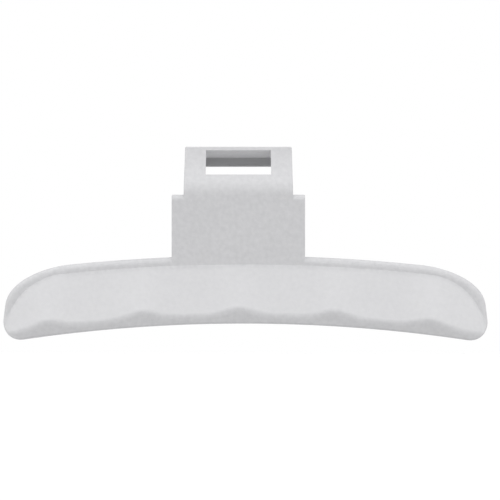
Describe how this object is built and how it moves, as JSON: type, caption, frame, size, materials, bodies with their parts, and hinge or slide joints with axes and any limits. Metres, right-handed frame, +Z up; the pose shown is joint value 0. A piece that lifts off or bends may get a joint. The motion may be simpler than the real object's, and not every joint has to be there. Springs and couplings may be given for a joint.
{
  "type": "dryer door handle",
  "caption": "Arched dryer door handle with a fluted finger grip, a flat neck and a bent hooked tongue with a latch window.",
  "frame": {"origin": "centre of the neck's flat back face", "axes": "+X along the grip, +Y out of the neck's back away from the fingers, +Z up from the grip to the tongue"},
  "size_m": [0.15, 0.0232, 0.0602],
  "materials": {
    "handle_plastic": "satin light grey with a fine moulded grain"
  },
  "bodies": {
    "root": {"door_handle": "handle_plastic"}
  },
  "joints": []
}
